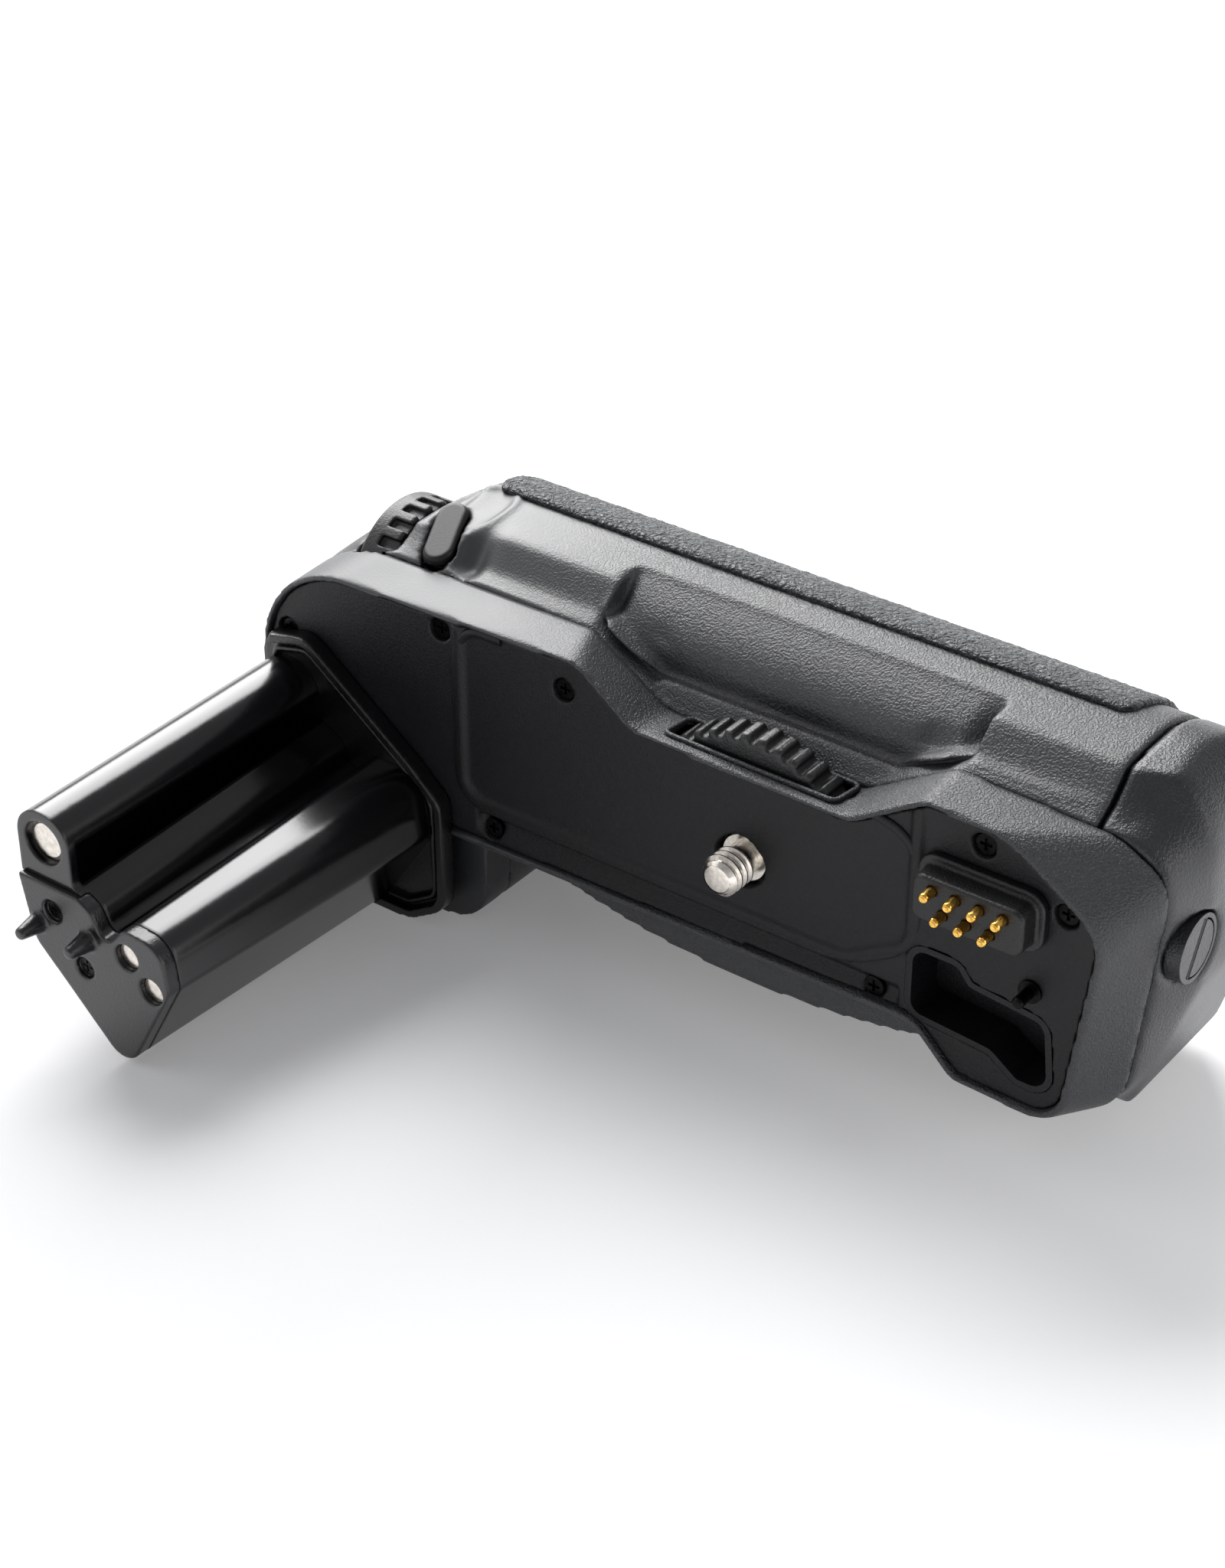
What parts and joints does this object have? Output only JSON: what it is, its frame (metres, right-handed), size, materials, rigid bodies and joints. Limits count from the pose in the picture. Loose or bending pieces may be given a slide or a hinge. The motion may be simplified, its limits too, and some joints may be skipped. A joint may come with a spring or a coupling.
{
  "type": "camera battery grip",
  "caption": "Vertical battery grip for an interchangeable-lens camera: clamp screw with thumbwheel, battery tower, sprung contact pins, control dials and a draw-out cell tray on the end cap.",
  "frame": {"origin": "centre of the camera screw in the plane of the mating rim", "axes": "+X along the grip towards the battery door, +Y from the mating face into the grip towards its base, +Z towards the back of the camera, where the thumb rests"},
  "size_m": [0.1603, 0.1062, 0.0637],
  "materials": {
    "case_plastic": "satin moulded",
    "shell_plastic": "fine grained, matt",
    "plate_plastic": "fine matt",
    "block_plastic": "satin",
    "tower_plastic": "polished black",
    "dial_plastic": "satin, grained",
    "wheel_plastic": "matt",
    "button_plastic": "satin",
    "gloss_button": "polished",
    "inner_plastic": "moulded",
    "grip_rubber": "leather grained",
    "silicone": "matt silicone",
    "nickel": "bright nickel",
    "steel": "plain steel",
    "pin_steel": "turned",
    "washer": "nylon",
    "black_screw": "black oxide",
    "gold": "gold plated",
    "board": "lacquered board",
    "cell_wrap": "satin wrap"
  },
  "bodies": {
    "housing": {"top_case": "case_plastic", "main_shell": "shell_plastic", "base_plate": "plate_plastic", "plate_screws": "black_screw", "pocket_tub": "plate_plastic", "pocket_screw": "black_screw", "locating_pin": "pin_steel", "connector_block": "block_plastic", "circuit_board": "board", "wheel_bracket": "steel", "wheel_washer": "washer", "tower_shell": "tower_plastic", "tower_cover": "tower_plastic", "tower_contacts": "nickel", "tower_screws": "black_screw", "tower_collar": "case_plastic", "main_dial_axle": "steel", "main_dial_bracket": "steel", "front_dial_axle": "steel", "front_dial_bracket": "steel", "button_dome": "silicone", "button_board": "board", "release_switch": "block_plastic", "battery_chamber": "inner_plastic", "chamber_contacts": "steel", "tripod_bush": "steel", "rubber_strip": "grip_rubber"},
    "clamp_screw": {"camera_screw": "nickel", "thumbwheel": "wheel_plastic", "screw_clip": "steel"},
    "contact_pin_1": {"contact_pin_1": "gold"},
    "contact_pin_2": {"contact_pin_2": "gold"},
    "contact_pin_3": {"contact_pin_3": "gold"},
    "contact_pin_4": {"contact_pin_4": "gold"},
    "contact_pin_5": {"contact_pin_5": "gold"},
    "contact_pin_6": {"contact_pin_6": "gold"},
    "contact_pin_7": {"contact_pin_7": "gold"},
    "rear_button": {"rear_button": "button_plastic"},
    "main_dial": {"main_dial": "dial_plastic"},
    "front_dial": {"front_dial": "dial_plastic"},
    "lock_collar": {"lock_collar": "button_plastic"},
    "shutter_button": {"shutter_button": "gloss_button"},
    "battery_holder": {"battery_door": "shell_plastic", "battery_tray": "inner_plastic", "tray_contacts": "steel", "cell_1": "cell_wrap", "cell_2": "cell_wrap", "cell_3": "cell_wrap", "cell_4": "cell_wrap", "cell_5": "cell_wrap", "cell_6": "cell_wrap"},
    "lock_knob": {"lock_knob": "button_plastic", "lock_cam": "steel"},
    "lock_handle": {"lock_handle": "button_plastic"}
  },
  "joints": [
    {"name": "clamp_screw_turn", "type": "hinge", "parent": "housing", "child": "clamp_screw", "pos_m": [0, 0, 0], "axis": [0, 1, 0], "continuous": true},
    {"name": "contact_pin_1_press", "type": "slide", "parent": "housing", "child": "contact_pin_1", "axis": [0, 1, 0], "range_m": [0, 0.0012], "stiffness_N_per_m": 400, "springref_m": -0.0012},
    {"name": "contact_pin_2_press", "type": "slide", "parent": "housing", "child": "contact_pin_2", "axis": [0, 1, 0], "range_m": [0, 0.0012], "stiffness_N_per_m": 400, "springref_m": -0.0012},
    {"name": "contact_pin_3_press", "type": "slide", "parent": "housing", "child": "contact_pin_3", "axis": [0, 1, 0], "range_m": [0, 0.0012], "stiffness_N_per_m": 400, "springref_m": -0.0012},
    {"name": "contact_pin_4_press", "type": "slide", "parent": "housing", "child": "contact_pin_4", "axis": [0, 1, 0], "range_m": [0, 0.0012], "stiffness_N_per_m": 400, "springref_m": -0.0012},
    {"name": "contact_pin_5_press", "type": "slide", "parent": "housing", "child": "contact_pin_5", "axis": [0, 1, 0], "range_m": [0, 0.0012], "stiffness_N_per_m": 400, "springref_m": -0.0012},
    {"name": "contact_pin_6_press", "type": "slide", "parent": "housing", "child": "contact_pin_6", "axis": [0, 1, 0], "range_m": [0, 0.0012], "stiffness_N_per_m": 400, "springref_m": -0.0012},
    {"name": "contact_pin_7_press", "type": "slide", "parent": "housing", "child": "contact_pin_7", "axis": [0, 1, 0], "range_m": [0, 0.0012], "stiffness_N_per_m": 400, "springref_m": -0.0012},
    {"name": "rear_button_press", "type": "slide", "parent": "housing", "child": "rear_button", "axis": [0, 0, -1], "range_m": [0, 0.0008], "stiffness_N_per_m": 1500, "springref_m": -0.0008, "deforming": ["button_dome"]},
    {"name": "main_dial_turn", "type": "hinge", "parent": "housing", "child": "main_dial", "pos_m": [-0.0746, 0.0192, 0.014], "axis": [1, 0, 0], "continuous": true},
    {"name": "front_dial_turn", "type": "hinge", "parent": "housing", "child": "front_dial", "pos_m": [-0.0746, 0.0265, -0.023], "axis": [1, 0, 0], "continuous": true},
    {"name": "lock_collar_turn", "type": "hinge", "parent": "housing", "child": "lock_collar", "pos_m": [-0.0915, 0.027, -0.012], "axis": [1, 0, 0], "range_deg": [0, 60]},
    {"name": "shutter_button_press", "type": "slide", "parent": "housing", "child": "shutter_button", "axis": [1, 0, 0], "range_m": [0, 0.001], "stiffness_N_per_m": 1000, "springref_m": -0.001},
    {"name": "battery_holder_draw", "type": "slide", "parent": "housing", "child": "battery_holder", "axis": [1, 0, 0], "range_m": [0, 0.125]},
    {"name": "lock_knob_turn", "type": "hinge", "parent": "battery_holder", "child": "lock_knob", "pos_m": [0.065, 0.0156, 0.0042], "axis": [1, 0, 0], "range_deg": [0, 90]},
    {"name": "lock_handle_fold", "type": "hinge", "parent": "lock_knob", "child": "lock_handle", "pos_m": [0.0644, 0.0156, 0.0042], "axis": [0, -0.4384, -0.8988], "range_deg": [0, 90]}
  ]
}
